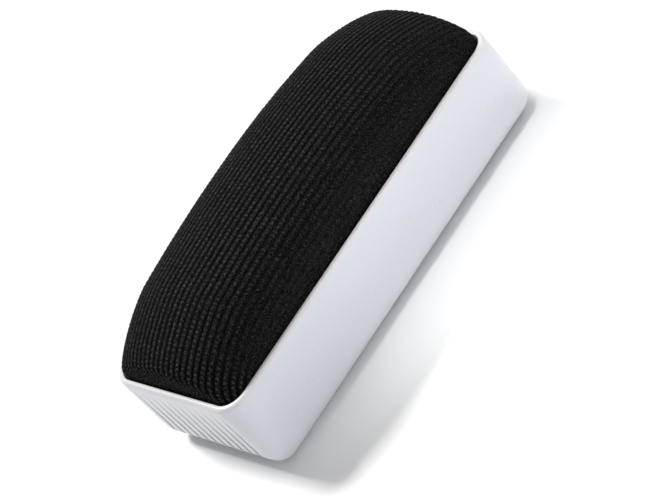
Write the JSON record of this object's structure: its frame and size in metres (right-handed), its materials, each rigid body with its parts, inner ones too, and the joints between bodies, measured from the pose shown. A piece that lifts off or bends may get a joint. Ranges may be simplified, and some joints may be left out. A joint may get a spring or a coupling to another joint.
{
  "type": "chalkboard eraser",
  "caption": "Chalkboard eraser: a glossy white moulded plastic tray with end grooves, holding a crowned foam pad in black ribbed cloth.",
  "frame": {"origin": "centre of the tray's flat back, which the eraser lies on", "axes": "+X along the length, +Y across the width, +Z from the back of the tray to the pad"},
  "size_m": [0.14, 0.06, 0.0529],
  "materials": {
    "tray_plastic": "gloss",
    "pad_cloth": "matte ribbed",
    "pad_foam": "matte",
    "board": "matte",
    "set_glue": "satin",
    "staple_steel": "satin"
  },
  "bodies": {
    "root": {"holder_shell": "tray_plastic", "ribbed_cover": "pad_cloth", "foam_block": "pad_foam", "backing_board": "board", "glue_line_front": "set_glue", "glue_line_rear": "set_glue", "staple_01": "staple_steel", "staple_02": "staple_steel", "staple_03": "staple_steel", "staple_04": "staple_steel", "staple_05": "staple_steel", "staple_06": "staple_steel", "staple_07": "staple_steel", "staple_08": "staple_steel", "staple_09": "staple_steel", "staple_10": "staple_steel"}
  },
  "joints": []
}
